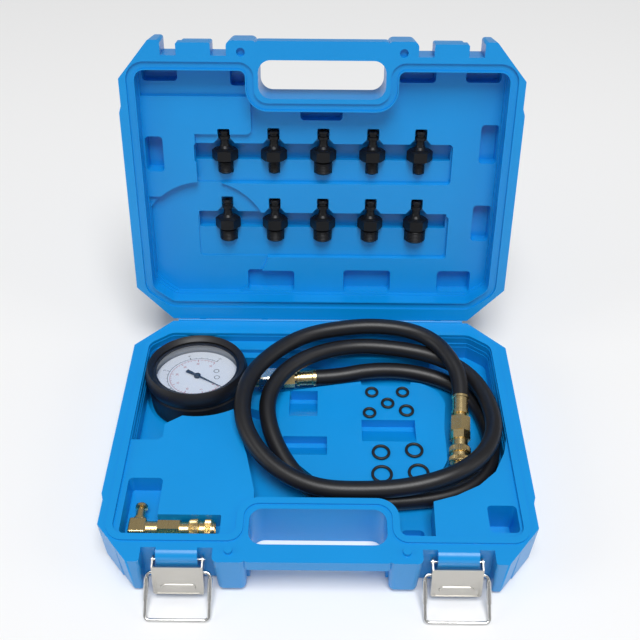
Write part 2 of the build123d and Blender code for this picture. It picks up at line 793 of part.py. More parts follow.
# Latches: a pin and a folded lever in the base's bay, and a wire bail on the lever
lever_tilt = radians(lever_tilt_deg)
for side, name in ((-1, "left"), (1, "right")):
    with BuildPart() as pin:
        with BuildSketch(Plane.YZ.offset(side * latch_x - lever_half_width - 0.6)):
            with Locations((hinge_y - latch_pin_v, latch_pin_z)):
                Circle(latch_pin_radius)
        extrude(amount=2 * lever_half_width + 1.2)
    save(pin, f"latch_pin_{name}")

    # In this plane x is across, y runs down the lever and z points into the case
    LEVER = Plane(
        origin=(side * latch_x, hinge_y - latch_pin_v, latch_pin_z),
        x_dir=(1, 0, 0),
        z_dir=(0, cos(lever_tilt), -sin(lever_tilt)),
    )
    # In this one x runs down the lever and y points out of the case
    ACROSS = Plane(origin=LEVER.origin, x_dir=LEVER.y_dir, z_dir=-LEVER.x_dir)
    with BuildPart() as lever:
        with BuildSketch(LEVER.offset(-lever_face)):
            rectangle(-lever_half_width, lever_half_width, lever_top, lever_length, 1.5)
            rectangle(-lever_half_width, lever_half_width, lever_top, lever_top + 6)
        extrude(amount=sheet)
        for ear_side in (-lever_half_width, lever_half_width - sheet):
            with BuildSketch(ACROSS.offset(ear_side)) as ear:
                Circle(ear_radius)
                with BuildLine() as edge:
                    Polyline(
                        (-0.5 * ear_radius, 0.866 * ear_radius),
                        (lever_top, lever_face),
                        (lever_length - 2.0, lever_face),
                        (lever_length - 7.0, bail_out - 2.0),
                        (0.0, -ear_radius),
                        close=True,
                    )
                make_face(edge.edges())
                Circle(latch_pin_radius + pin_clearance, mode=Mode.SUBTRACT)
                with Locations((bail_along, bail_out)):
                    Circle(wire_radius + pin_clearance, mode=Mode.SUBTRACT)
            extrude(ear.sketch, amount=sheet)
        half, top, bottom, recess = lever_recess
        with BuildSketch(LEVER.offset(-lever_face)) as dished:
            rectangle(-half, half, top, bottom, 1.5)
        extrude(dished.sketch, amount=recess, mode=Mode.SUBTRACT)
        boss_at, boss_length, boss_width = lever_boss
        with BuildSketch(LEVER.offset(recess - lever_face)) as boss:
            with Locations((0, boss_at)):
                SlotOverall(boss_length, boss_width)
        extrude(boss.sketch, amount=-2 * recess, taper=30)
    save(lever, f"latch_lever_{name}")

    # The bail leans from its holes in the lever to the floor
    pivot = LEVER.from_local_coords((0, bail_along, -bail_out))
    lean = acos((pivot.Z - wire_radius) / bail_reach)
    BAIL = Plane(origin=pivot, x_dir=(1, 0, 0), z_dir=(0, cos(lean), -sin(lean)))
    with BuildPart() as bail:
        with BuildLine(BAIL) as wire:
            FilletPolyline(
                (-bail_end, 0),
                (-bail_half_width, 0),
                (-bail_half_width, bail_reach),
                (bail_half_width, bail_reach),
                (bail_half_width, 0),
                (bail_end, 0),
                radius=bail_bend,
            )
        with BuildSketch(Plane(origin=wire.line @ 0, z_dir=wire.line % 0)) as section:
            Circle(wire_radius)
        sweep(section.sketch, path=wire.line)
        crimp_start, crimp_end, crimp_radius = bail_crimp
        for leg in (-bail_half_width, bail_half_width):
            with BuildSketch(Plane(BAIL.from_local_coords((leg, crimp_start, 0)), z_dir=BAIL.y_dir)) as crimp:
                Circle(crimp_radius)
            extrude(crimp.sketch, amount=crimp_end - crimp_start)
    save(bail, f"latch_bail_{name}")

# Rubber boot of the gauge, open over the dial and round the stem
with BuildPart() as gauge_boot:
    with BuildSketch(Plane(GAUGE.origin, x_dir=GAUGE.x_dir, z_dir=-GAUGE.y_dir)) as section:
        with BuildLine() as edge:
            Polyline(
                (0, -boot_bottom),
                (boot_body_radius - 2.4, -boot_bottom),
                (boot_body_radius - 1.2, -boot_bottom + 1.0),
                (boot_body_radius, -boot_crease - 1.4),
                (boot_body_radius - 0.7, -boot_crease),
            )
            ThreePointArc(
                (boot_body_radius - 0.7, -boot_crease),
                (boot_radius, -0.8),
                (boot_lip_radius, boot_lip_top),
            )
            ThreePointArc(
                (boot_lip_radius, boot_lip_top),
                ((boot_lip_radius + boot_opening) / 2, (boot_lip_top + boot_opening_top) / 2 + 0.3),
                (boot_opening, boot_opening_top),
            )
            Polyline(
                (boot_opening, boot_opening_top),
                (boot_opening, bezel_top + 0.2),
                (bezel_radius + 0.2, bezel_top + 0.2),
                (bezel_radius + 0.2, bezel_bottom - 0.2),
                (gauge_case_radius + 0.2, bezel_bottom - 0.2),
                (gauge_case_radius + 0.2, -boot_bottom + boot_wall),
                (0, -boot_bottom + boot_wall),
                (0, -boot_bottom),
            )
        make_face(edge.edges())
    revolve(section.sketch, axis=Axis(GAUGE.origin, GAUGE.z_dir))
    bore(STEM, gauge_case_radius - 2, 8.0, stem_radius + 0.2)
save(gauge_boot, "gauge_boot")

case_bottom = -boot_bottom + boot_wall + seat_gap
with BuildPart() as gauge_case:
    turned(
        GAUGE,
        (0, case_bottom),
        (gauge_case_radius, case_bottom),
        (gauge_case_radius, case_rim),
        (gauge_case_radius - gauge_wall, case_rim),
        (gauge_case_radius - gauge_wall, case_bottom + gauge_wall),
        (0, case_bottom + gauge_wall),
    )
    bore(STEM, gauge_case_radius - 3, 6.0, stem_radius + pin_clearance)
save(gauge_case, "gauge_case")

with BuildPart() as gauge_bezel:
    turned(
        GAUGE,
        (dial_opening_radius, bezel_under),
        (gauge_case_radius + 0.05, bezel_under),
        (gauge_case_radius + 0.05, bezel_bottom),
        (bezel_radius, bezel_bottom),
        (bezel_radius, bezel_top - 0.6),
        (bezel_radius - 0.6, bezel_top),
        (dial_opening_radius, bezel_edge),
    )
save(gauge_bezel, "gauge_bezel")

with BuildPart() as gauge_lens:
    with BuildSketch(GAUGE.offset(case_rim + 0.02)):
        Circle(gauge_case_radius)
    extrude(amount=lens_thickness)
save(gauge_lens, "gauge_lens")

with BuildPart() as gauge_dial:
    with BuildSketch(GAUGE.offset(dial_level - dial_thickness)):
        Circle(dial_radius)
        Circle(pointer_shaft_radius + 0.15, mode=Mode.SUBTRACT)
    extrude(amount=dial_thickness)
save(gauge_dial, "gauge_dial")

# The pointer rests at the start of the scale
zero = radians(pointer_zero_deg)
with BuildPart() as gauge_pointer:
    turned(
        GAUGE,
        (0, movement_top - 3.0),
        (pointer_shaft_radius, movement_top - 3.0),
        (pointer_shaft_radius, dial_level + 0.3),
        (2.6, dial_level + 0.3),
        (2.6, pointer_level + 0.5),
        (1.6, pointer_level + 1.0),
        (0, pointer_level + 1.0),
    )
    with BuildSketch(GAUGE.offset(pointer_level - 0.3)) as needle:
        with BuildLine() as edge:
            Polyline(
                (pointer_length * cos(zero), pointer_length * sin(zero)),
                (-0.8 * sin(zero), 0.8 * cos(zero)),
                (-pointer_tail * cos(zero) - 1.5 * sin(zero), -pointer_tail * sin(zero) + 1.5 * cos(zero)),
                (-pointer_tail * cos(zero) + 1.5 * sin(zero), -pointer_tail * sin(zero) - 1.5 * cos(zero)),
                (0.8 * sin(zero), -0.8 * cos(zero)),
                close=True,
            )
        make_face(edge.edges())
    extrude(needle.sketch, amount=0.5)
save(gauge_pointer, "gauge_pointer")

# Works inside the gauge: a movement, a curved tube and the socket that feeds it
with BuildPart() as gauge_movement:
    with BuildSketch(GAUGE.offset(movement_top - 1.2)):
        RectangleRounded(24.0, 16.0, 3.0)
        with Locations((14.0, 0)):
            Rectangle(11.6, 7.0)
    extrude(amount=1.2)
    with BuildSketch(GAUGE.offset(movement_top - 8.0)):
        RectangleRounded(24.0, 16.0, 3.0)
    extrude(amount=1.2)
    with BuildSketch(GAUGE.offset(movement_top - 7.0)):
        with GridLocations(17.0, 9.0, 2, 2):
            Circle(1.2)
    extrude(amount=6.0)
    bore(GAUGE, movement_top - 4.0, 4.0, pointer_shaft_radius + pin_clearance)
save(gauge_movement, "gauge_movement")

with BuildPart() as gauge_socket:
    with BuildSketch(GAUGE.offset(socket_bottom)):
        with Locations((socket_inner + (gauge_case_radius - gauge_wall - 0.1 - socket_inner) / 2, 0)):
            Rectangle(gauge_case_radius - gauge_wall - 0.1 - socket_inner, socket_width)
    extrude(amount=movement_top - 1.4 - socket_bottom)
    with BuildSketch(GAUGE.offset(socket_bottom)) as round_wall:
        Circle(gauge_case_radius - gauge_wall - 0.1)
    extrude(round_wall.sketch, amount=-socket_bottom + movement_top, mode=Mode.INTERSECT)
    turned(
        STEM,
        (0, dial_radius + 0.1),
        (stem_radius, dial_radius + 0.1),
        (stem_radius, boot_radius),
        (fitting_hex_flats / 2 - 0.4, boot_radius + 1.0),
        (fitting_hex_flats / 2 - 0.4, adapter_start - 0.05),
        (stem_thread_radius, adapter_start - 0.05),
        (stem_thread_radius, stem_end),
        (0, stem_end),
    )
    bore(STEM, socket_inner + 1, stem_end, 1.5)
save(gauge_socket, "gauge_socket")

with BuildPart() as bourdon_tube:
    with BuildSketch(GAUGE.offset(tube_bottom)):
        Circle(tube_radius)
        Circle(tube_radius - tube_thickness, mode=Mode.SUBTRACT)
        with BuildSketch(mode=Mode.PRIVATE) as gap:
            with BuildLine() as edge:
                Polyline(
                    (0, 0),
                    (45 * cos(radians(-75)), 45 * sin(radians(-75))),
                    (45, -45),
                    (45, socket_width / 2 + 0.05),
                    (10, socket_width / 2 + 0.05),
                    close=True,
                )
            make_face(edge.edges())
        add(gap.sketch, mode=Mode.SUBTRACT)
    extrude(amount=tube_height)
save(bourdon_tube, "bourdon_tube")

with BuildPart() as gauge_adapter:
    with BuildSketch(STEM.offset(adapter_start)):
        Rectangle(fitting_hex_flats, fitting_hex_flats)
    extrude(amount=adapter_end - adapter_start)
    chamfer(gauge_adapter.edges().filter_by(Axis(STEM.origin, STEM.z_dir)), length=1.0)
    bore(STEM, adapter_start - 1, stem_end - adapter_start + 1.1, stem_thread_radius + 0.05)
    bore(STEM, adapter_start, adapter_end, 2.0)
save(gauge_adapter, "gauge_adapter")

# Nut and ferrule on the hose's gauge end
ferrule_start = hose_end_on_gauge_axis - ferrule_length
with BuildPart() as hose_nut:
    hexagon(STEM, adapter_end + 0.05, ferrule_start - collar_length - adapter_end, fitting_hex_flats)
    turned(
        STEM,
        (0, ferrule_start - collar_length),
        (4.6, ferrule_start - collar_length),
        (4.6, ferrule_start - 0.05),
        (0, ferrule_start - 0.05),
    )
    bore(STEM, adapter_end, 30.0, 2.0)
save(hose_nut, "hose_nut")


def ferrule(place, start, length):
    """A crimped sleeve with a bead at each end."""
    radius = ferrule_radius
    turned(
        place,
        (0, start),
        (radius - 0.4, start),
        (radius, start + 0.4),
        (radius, start + 2.0),
        (radius - 0.6, start + 2.6),
        (radius - 0.6, start + length - 3.0),
        (radius, start + length - 2.4),
        (radius, start + length),
        (0, start + length),
    )
    bore(place, start - 1, length + 2, 2.0)


with BuildPart() as hose_ferrule:
    ferrule(STEM, ferrule_start, ferrule_length)
save(hose_ferrule, "hose_ferrule")

# Hose: two and a half turns from the gauge to the coupler
hose_points = [STEM.from_local_coords((0, 0, hose_end_on_gauge_axis))]
hose_points.append(STEM.from_local_coords((0, 0, hose_end_on_gauge_axis + 16.0)))
hose_points += [Vector(*point) for point in hose_route]
hose_points.append(COUPLER.from_local_coords((0, 0, -16.0)))
hose_points.append(COUPLER.origin)
hose_radii = []
for before, corner, after in zip(hose_points, hose_points[1:], hose_points[2:]):
    run = min((corner - before).length, (after - corner).length)
    half_turn = radians((corner - before).get_angle(after - corner)) / 2
    hose_radii.append(0.45 * run / tan(half_turn))
print("hose bend radii", [round(radius, 1) for radius in hose_radii])
with BuildPart() as hose:
    with BuildLine() as course:
        FilletPolyline(*hose_points, radius=hose_radii)
    with BuildSketch(Plane(origin=course.line @ 0, z_dir=course.line % 0)) as section:
        Circle(hose_radius)
    sweep(section.sketch, path=course.line)
hose_length = sum(edge.length for edge in course.edges())
print("hose length", hose_length, "volume", hose.part.volume / (pi * hose_radius**2 * hose_length))
save(hose, "hose")

# Coupler: ferrule, hexagonal body, nut, socket and the sleeve that slides on it
at = ferrule_length
with BuildPart() as coupler_ferrule:
    ferrule(COUPLER, 0, at)
save(coupler_ferrule, "coupler_ferrule")

with BuildPart() as coupler_body:
    collar_end = at + coupler_collar_length
    turned(COUPLER, (0, at + 0.05), (4.6, at + 0.05), (4.6, collar_end + 0.4), (0, collar_end + 0.4))
    hexagon(COUPLER, collar_end, coupler_hex_length, coupler_hex_flats, coupler_hex_turn_deg)
    bore(COUPLER, 0, 40.0, 2.0)
save(coupler_body, "coupler_body")

with BuildPart() as coupler_nut:
    at = collar_end + coupler_hex_length + 0.05
    hexagon(COUPLER, at, coupler_nut_length - 0.05, coupler_hex_flats - 0.6, coupler_nut_turn_deg)
    bore(COUPLER, 0, 40.0, 2.0)
save(coupler_nut, "coupler_nut")

with BuildPart() as coupler_socket:
    at = at + coupler_nut_length
    sleeve_start = at + coupler_neck_length
    tip = sleeve_start + sleeve_length + tip_length
    turned(
        COUPLER,
        (0, at),
        (coupler_neck_radius, at),
        (coupler_neck_radius, tip - tip_length),
        (tip_radius, tip - tip_length + 0.4),
        (tip_radius, tip - 0.6),
        (tip_radius - 0.6, tip),
        (0, tip),
    )
    bore(COUPLER, 0, 80.0, 2.0)
    bore(COUPLER, tip - socket_depth, 20.0, socket_radius)
save(coupler_socket, "coupler_socket")


def sleeve(place, start, length, radius, hole):
    """A release sleeve with a flared grip band, a narrow ring and a second grip band."""
    turned(
        place,
        (hole, start),
        (radius - 0.4, start),
        (radius + 0.3, start + 0.4 * length),
        (radius - 0.9, start + 0.45 * length),
        (radius - 0.9, start + 0.6 * length),
        (radius - 0.1, start + 0.64 * length),
        (radius - 0.1, start + length - 0.5),
        (radius - 0.6, start + length),
        (hole, start + length),
    )


with BuildPart() as coupler_sleeve:
    sleeve(COUPLER, sleeve_start, sleeve_length, sleeve_radius, coupler_neck_radius + pin_clearance)
save(coupler_sleeve, "coupler_sleeve")

# Elbow set
NIPPLE = Plane(origin=ELBOW.origin, x_dir=(1, 0, 0), z_dir=(0, 1, 0))
half = elbow_body / 2
with BuildPart() as elbow_block:
    with Locations(ELBOW.origin):
        Box(elbow_body, elbow_body, elbow_body)
    fillet(elbow_block.edges(), radius=1.6)
    turned(ELBOW, (0, 0), (half - 0.6, 0), (half - 0.6, elbow_arm), (0, elbow_arm))
    bore(ELBOW, 0, 30.0, 1.8)
    bore(NIPPLE, 0, 30.0, 1.8)
save(elbow_block, "elbow_body")

with BuildPart() as elbow_nipple:
    turned(
        NIPPLE,
        (0, half + 0.05),
        (nipple_radius + 1.2, half + 0.05),
        (nipple_radius + 1.2, half + 2.0),
        (nipple_radius, half + 2.4),
        (nipple_radius, nipple_reach - 5.5),
        (nipple_radius - 0.8, nipple_reach - 5.0),
        (nipple_radius - 0.8, nipple_reach - 3.8),
        (nipple_radius + 1.1, nipple_reach - 3.0),
        (nipple_radius + 1.1, nipple_reach - 1.2),
        (nipple_radius, nipple_reach),
        (0, nipple_reach),
    )
    bore(NIPPLE, 0, 30.0, 1.8)
save(elbow_nipple, "elbow_nipple")

with BuildPart() as elbow_nut:
    hexagon(ELBOW, elbow_arm + 0.05, elbow_nut_length - 0.1, elbow_hex_flats)
    bore(ELBOW, 0, 40.0, 1.8)
save(elbow_nut, "elbow_nut")

elbow_neck_start = elbow_arm + 2 * elbow_nut_length
elbow_sleeve_start = elbow_neck_start + elbow_neck_length
with BuildPart() as elbow_coupler:
    hexagon(ELBOW, elbow_arm + elbow_nut_length, elbow_nut_length, elbow_hex_flats)
    elbow_end = elbow_sleeve_start + elbow_sleeve_length + 1.0
    turned(
        ELBOW,
        (0, elbow_neck_start),
        (elbow_neck_radius, elbow_neck_start),
        (elbow_neck_radius, elbow_end),
        (0, elbow_end),
    )
    bore(ELBOW, 0, 80.0, 1.8)
    bore(ELBOW, elbow_end - socket_depth, 20.0, socket_radius)
save(elbow_coupler, "elbow_coupler")

with BuildPart() as elbow_sleeve:
    sleeve(
        ELBOW,
        elbow_sleeve_start,
        elbow_sleeve_length,
        elbow_sleeve_radius,
        elbow_neck_radius + pin_clearance,
    )
save(elbow_sleeve, "elbow_sleeve")

# Adapters: threaded end, hexagon, cone and plug-in nipple, drilled through
number = 0
thread_end = -adapter_thread_length
for v, radii in zip(row_hex_v, thread_radii):
    for x, radius in zip(adapter_xs, radii):
        number = number + 1
        place = Plane(
            origin=LID.from_local_coords((-x, v, adapter_axis_depth)),
            x_dir=LID.x_dir,
            z_dir=LID.y_dir,
        )
        cone_end = adapter_hex_length + adapter_cone_length
        neck_end = cone_end + adapter_neck_length
        nipple_end = neck_end + adapter_nipple_length
        with BuildPart() as adapter:
            hexagon(place, 0, adapter_hex_length, adapter_hex_flats)
            corner = adapter_hex_flats / 2 / cos(pi / 6)
            with BuildSketch(Plane(place.origin, x_dir=place.x_dir, z_dir=-place.y_dir)) as envelope:
                with BuildLine() as edge:
                    Polyline(
                        (0, 0),
                        (corner - 2 * adapter_hex_chamfer, 0),
                        (corner, adapter_hex_chamfer),
                        (corner, adapter_hex_length - adapter_hex_chamfer),
                        (corner - 2 * adapter_hex_chamfer, adapter_hex_length),
                        (0, adapter_hex_length),
                        close=True,
                    )
                make_face(edge.edges())
            revolve(envelope.sketch, axis=Axis(place.origin, place.z_dir), mode=Mode.INTERSECT)
            turned(
                place,
                (0, thread_end),
                (radius - 1.0, thread_end),
                (radius, thread_end + 1.0),
                (radius, -1.6),
                (radius - 0.8, -1.4),
                (radius - 0.8, 0.0),
                (adapter_flare_radius, 0.0),
                (adapter_flare_radius, adapter_hex_length),
                (5.0, adapter_hex_length + 0.25 * adapter_cone_length),
                (3.7, adapter_hex_length + 0.6 * adapter_cone_length),
                (adapter_neck_radius, cone_end),
                (adapter_neck_radius, neck_end - 0.6),
                (adapter_nipple_radius, neck_end),
                (adapter_nipple_radius, neck_end + 2.0),
                (adapter_neck_radius, neck_end + 2.6),
                (adapter_neck_radius, neck_end + 3.8),
                (adapter_nipple_radius - 0.3, neck_end + 4.4),
                (adapter_nipple_radius - 0.3, nipple_end - 0.5),
                (adapter_nipple_radius - 0.9, nipple_end),
                (0, nipple_end),
            )
            bore(place, thread_end - 1, nipple_end - thread_end + 2, 1.9)
        save(adapter, f"adapter_{number}")

# Spare sealing rings on the island
island_top = base_height - island_depth
for size, rings in (("small", small_rings), ("medium", medium_rings), ("large", large_rings)):
    for number, (x, v, radius) in enumerate(rings, 1):
        with BuildPart() as ring:
            with Locations((x, hinge_y - v, island_top + ring_wire_radius + 0.02)):
                Torus(radius - ring_wire_radius, ring_wire_radius)
        save(ring, f"o_ring_{size}_{number}")
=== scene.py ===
import json
from math import cos, pi, radians, sin

import bmesh
import bpy
from mathutils import Matrix, Vector


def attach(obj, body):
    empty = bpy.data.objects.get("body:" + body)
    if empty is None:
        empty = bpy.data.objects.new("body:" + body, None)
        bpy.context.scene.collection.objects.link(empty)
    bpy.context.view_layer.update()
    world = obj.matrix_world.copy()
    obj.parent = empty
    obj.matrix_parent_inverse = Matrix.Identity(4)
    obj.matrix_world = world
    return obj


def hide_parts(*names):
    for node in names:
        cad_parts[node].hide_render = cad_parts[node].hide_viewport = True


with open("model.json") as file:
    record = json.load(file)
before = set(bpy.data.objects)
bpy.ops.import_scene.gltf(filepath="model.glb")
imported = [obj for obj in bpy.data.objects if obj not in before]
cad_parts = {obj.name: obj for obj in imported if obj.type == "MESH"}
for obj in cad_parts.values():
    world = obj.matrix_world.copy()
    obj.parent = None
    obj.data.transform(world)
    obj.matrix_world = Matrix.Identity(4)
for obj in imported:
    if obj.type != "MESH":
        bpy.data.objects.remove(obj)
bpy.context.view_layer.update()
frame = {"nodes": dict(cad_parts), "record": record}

nodes = frame["nodes"]
scene = bpy.context.scene
MM = 0.001

# The lid's plane: its hinge line, the angle that it leans at, and the way its face looks
HINGE = Vector((0.0, 0.10875, 0.038))
LID_LEAN = radians(74.74)
LID_UP = Vector((0.0, cos(LID_LEAN), sin(LID_LEAN)))
LID_OUT = Vector((0.0, -sin(LID_LEAN), cos(LID_LEAN)))

# The gauge's plane
GAUGE_CENTRE = Vector((-93.7, 54.85, 36.6)) * MM
GAUGE_TILT = radians(9.0)
GAUGE_TURN = radians(4.0)
GAUGE_X = Vector((cos(GAUGE_TURN), sin(GAUGE_TURN) * cos(GAUGE_TILT), -sin(GAUGE_TURN) * sin(GAUGE_TILT)))
GAUGE_Z = Vector((0.0, sin(GAUGE_TILT), cos(GAUGE_TILT)))
GAUGE_Y = GAUGE_Z.cross(GAUGE_X)
DIAL_LEVEL = -6.3 * MM
DIAL_PRINT_LIFT = 0.00006

# The dial's print: angles in degrees, the rest in millimetres, major marks before minor ones
SCALE_START = -38.0
SCALE_SWEEP = 270.0
MINOR_STEPS = 5
ARC_STEPS = 90
BLACK_DIVISIONS = 5
BLACK_ARC = (22.6, 22.95)
BLACK_MARK_STARTS = (22.7, 22.7)
BLACK_MARK_ENDS = (25.2, 23.9)
BLACK_MARK_WIDTHS = (0.5, 0.26)
RED_DIVISIONS = 7
RED_ARC = (20.9, 21.15)
RED_MARK_STARTS = (18.6, 19.7)
RED_MARK_ENDS = (21.0, 21.0)
RED_MARK_WIDTHS = (0.42, 0.22)
CIRCLE_PLACES = ((14.3, 6.2), (14.9, -1.6))
CIRCLE_RADIUS = 2.2
CIRCLE_LINE = 0.45
CIRCLE_STEPS = 20

# The adapters in the lid, in millimetres
ADAPTER_X = (-72.5, -35.8, 1.2, 38.1, 73.6)
ADAPTER_DEPTH = 18.5
ROW_HEIGHTS = (128.6, 73.8)
THREAD_END = 10.5
THREAD_RUN_IN = 0.9
THREAD_STOP = 2.0
THREAD_PITCH = 1.2
THREAD_RELIEF = 0.3
THREAD_RADII = ((5.4, 4.0, 6.5, 4.5, 4.0), (6.5, 6.5, 6.8, 6.5, 7.8))
LID_NUMBER_HEIGHTS = (105.8, 57.0)
LID_NUMBER_DEPTHS = (16.0, 20.0)
LID_NUMBER_LIFT = 0.08
LID_NUMBER_SIZE = 3.4

# The release sleeves: the fitting's start and axis, then the sleeve's start, length and radius
COUPLER_DROP = radians(14.6)
COUPLER_YAW = radians(4.7)
COUPLER_AXIS = -Vector(
    (sin(COUPLER_YAW) * cos(COUPLER_DROP), cos(COUPLER_YAW) * cos(COUPLER_DROP), sin(COUPLER_DROP))
)
GRIPS = (
    ("coupler", Vector((104.3, 29.5, 38.0)) * MM, COUPLER_AXIS, 40.75, 12.5, 7.5, "coupler_release"),
    ("elbow", Vector((-118.2, -81.45, 30.0)) * MM, Vector((1, 0, 0)), 33.6, 16.0, 6.5, "elbow_release"),
)

# Each grip band's start and end as shares of the sleeve, and its rise at both
GRIP_BANDS = ((0.04, 0.38, 0.0, 0.5), (0.66, 0.92, 0.35, 0.35))
GRIP_TEETH = 44
GRIP_TOOTH = 0.4

# The hose's route, the same points as in the part
HOSE_DIAMETER = 12.3 * MM
HOSE_ROUTE = [
    (-2.92, 59.40, 24.74),
    (13.04, 60.50, 24.57),
    (39.6, 66.1, 26.5),
    (69.6, 67.5, 24.5),
    (99.0, 59.5, 22.0),
    (118.0, 40.0, 22.0),
    (125.4, 12.0, 22.0),
    (124.8, -14.0, 22.0),
    (114.0, -34.5, 22.0),
    (92.0, -47.6, 22.0),
    (56.0, -53.0, 22.0),
    (24.0, -53.2, 22.0),
    (-4.0, -47.0, 22.5),
    (-24.0, -24.0, 27.0),
    (-36.5, 2.0, 34.0),
    (-39.0, 27.0, 38.8),
    (-27.0, 52.0, 41.2),
    (-4.0, 70.0, 41.0),
    (27.0, 81.0, 38.5),
    (58.0, 80.0, 37.2),
    (88.0, 74.0, 35.8),
    (113.0, 57.0, 35.5),
    (125.4, 28.0, 36.0),
    (126.6, -2.0, 38.0),
    (114.0, -28.0, 41.0),
    (92.0, -45.0, 42.0),
    (62.0, -53.0, 39.0),
    (30.0, -54.0, 36.4),
    (-2.0, -52.0, 35.6),
    (-30.0, -38.0, 38.0),
    (-49.0, -16.0, 43.0),
    (-56.5, 7.9, 47.5),
    (-52.4, 37.4, 49.8),
    (-34.5, 64.0, 49.0),
    (-9.9, 83.3, 48.4),
    (22.0, 92.1, 47.6),
    (46.0, 94.0, 47.4),
    (71.4, 89.5, 47.4),
    (88.5, 78.5, 46.8),
    (98.6, 62.5, 45.6),
    (105.57, 44.93, 42.03),
    (104.3, 29.5, 38.0),
]

# Colours, linear
BLUE = (0.0, 0.285, 0.720)
RUBBER = (0.007, 0.007, 0.009)
STEEL = (0.60, 0.58, 0.54)
WIRE = (0.70, 0.70, 0.69)
BRASS = (0.88, 0.68, 0.34)
NICKEL = (0.72, 0.69, 0.60)
OXIDE = (0.012, 0.0125, 0.014)
DIAL_WHITE = (0.80, 0.84, 0.90)
PRINT_BLACK = (0.01, 0.01, 0.012)
PRINT_RED = (0.45, 0.03, 0.06)

# The photograph's viewpoint, in millimetres and degrees
CAMERA_PLACE = (1.58, -405.20, 532.66)
CAMERA_PITCH = 43.84
CAMERA_YAW = -0.20
CAMERA_ROLL = 0.38
CAMERA_LENS = 49.84
SKY_STRENGTH = 0.22


def node(tree, kind, **values):
    """A shader node with some of its values set."""
    made = tree.nodes.new(kind)
    for key, value in values.items():
        if key in made.inputs:
            made.inputs[key].default_value = value
        else:
            setattr(made, key, value)
    return made


def finish(
    name,
    colour,
    roughness=0.4,
    metallic=0.0,
    grain=(900.0, 900.0, 900.0),
    bump=0.05,
    variation=0.08,
    coat=0.0,
    wear=None,
):
    """A finish with its own colour variation, uneven roughness and fine bump, stretched by grain."""
    material = bpy.data.materials.new(name)
    material.use_nodes = True
    material.diffuse_color = (*colour, 1.0)
    tree = material.node_tree
    shader = tree.nodes["Principled BSDF"]
    shader.inputs["Metallic"].default_value = metallic
    shader.inputs["Coat Weight"].default_value = coat
    shader.inputs["Coat Roughness"].default_value = 0.25
    place = node(tree, "ShaderNodeTexCoord")
    stretch = node(tree, "ShaderNodeMapping", Scale=grain)
    tree.links.new(place.outputs["Object"], stretch.inputs["Vector"])

    fine = node(tree, "ShaderNodeTexNoise", Scale=1.0, Detail=5.0, Roughness=0.6)
    tree.links.new(stretch.outputs["Vector"], fine.inputs["Vector"])
    broad = node(tree, "ShaderNodeTexNoise", Scale=26.0, Detail=3.0)
    tree.links.new(place.outputs["Object"], broad.inputs["Vector"])

    lift = 0.2 * variation * 0.05
    darker = [c * (1 - variation) for c in colour]
    lighter = [min(1.0, c * (1 + variation) + lift) for c in colour]
    shade = node(tree, "ShaderNodeMix", data_type="RGBA")
    shade.inputs["A"].default_value = (*darker, 1.0)
    shade.inputs["B"].default_value = (*lighter, 1.0)
    tree.links.new(broad.outputs["Fac"], shade.inputs["Factor"])
    last = shade.outputs["Result"]
    if wear:
        edge = node(tree, "ShaderNodeNewGeometry")
        ramp = node(tree, "ShaderNodeMapRange")
        ramp.inputs["From Min"].default_value = 0.52
        ramp.inputs["From Max"].default_value = 0.60
        tree.links.new(edge.outputs["Pointiness"], ramp.inputs["Value"])
        worn = node(tree, "ShaderNodeMix", data_type="RGBA")
        worn.inputs["B"].default_value = (*wear, 1.0)
        tree.links.new(ramp.outputs["Result"], worn.inputs["Factor"])
        tree.links.new(last, worn.inputs["A"])
        last = worn.outputs["Result"]
    tree.links.new(last, shader.inputs["Base Color"])

    rough = node(tree, "ShaderNodeMapRange")
    rough.inputs["To Min"].default_value = max(0.02, roughness - 0.07)
    rough.inputs["To Max"].default_value = min(1.0, roughness + 0.07)
    tree.links.new(fine.outputs["Fac"], rough.inputs["Value"])
    tree.links.new(rough.outputs["Result"], shader.inputs["Roughness"])

    relief = node(tree, "ShaderNodeBump", Strength=bump, Distance=0.0004)
    tree.links.new(fine.outputs["Fac"], relief.inputs["Height"])
    tree.links.new(relief.outputs["Normal"], shader.inputs["Normal"])
    return material


def clear_glass():
    """The gauge's lens."""
    material = bpy.data.materials.new("lens")
    material.use_nodes = True
    tree = material.node_tree
    tree.nodes.clear()
    out = node(tree, "ShaderNodeOutputMaterial")
    clear = node(tree, "ShaderNodeBsdfTransparent")
    gloss = node(tree, "ShaderNodeBsdfGlossy", Roughness=0.04)
    mix = node(tree, "ShaderNodeMixShader", Fac=0.06)
    tree.links.new(clear.outputs[0], mix.inputs[1])
    tree.links.new(gloss.outputs[0], mix.inputs[2])
    tree.links.new(mix.outputs[0], out.inputs["Surface"])
    return material


plastic = finish("moulded_blue", BLUE, 0.36, grain=(700, 700, 700), bump=0.10, variation=0.05, coat=0.15)
rubber = finish("moulded_rubber", RUBBER, 0.46, grain=(1500, 1500, 1500), bump=0.12, variation=0.25)
hose_rubber = finish("hose_rubber", RUBBER, 0.40, grain=(900, 900, 900), bump=0.10, variation=0.35)
steel = finish("brushed_stainless", STEEL, 0.36, 1.0, grain=(90, 2600, 2600), bump=0.10, variation=0.10)
wire = finish("bright_wire", WIRE, 0.24, 1.0, grain=(300, 1800, 1800), bump=0.04)
brass = finish("machined_brass", BRASS, 0.27, 1.0, grain=(1300, 400, 400), bump=0.05, variation=0.10)
nickel = finish("plated_fitting", NICKEL, 0.28, 1.0, grain=(500, 500, 500), bump=0.04, variation=0.12)
oxide = finish("black_oxide", OXIDE, 0.38, 0.6, grain=(1100, 1100, 1100), bump=0.08, variation=0.3)
dark_steel = finish("gauge_case_steel", (0.05, 0.05, 0.055), 0.35, 0.9, bump=0.03)
# Cup's inner wall: a flat light grey that is a painted reflection of the white dial on the metal cup
cup_painted_dial_reflection = finish("cup_painted_dial_reflection", (0.42, 0.44, 0.46), 0.4, bump=0.02)
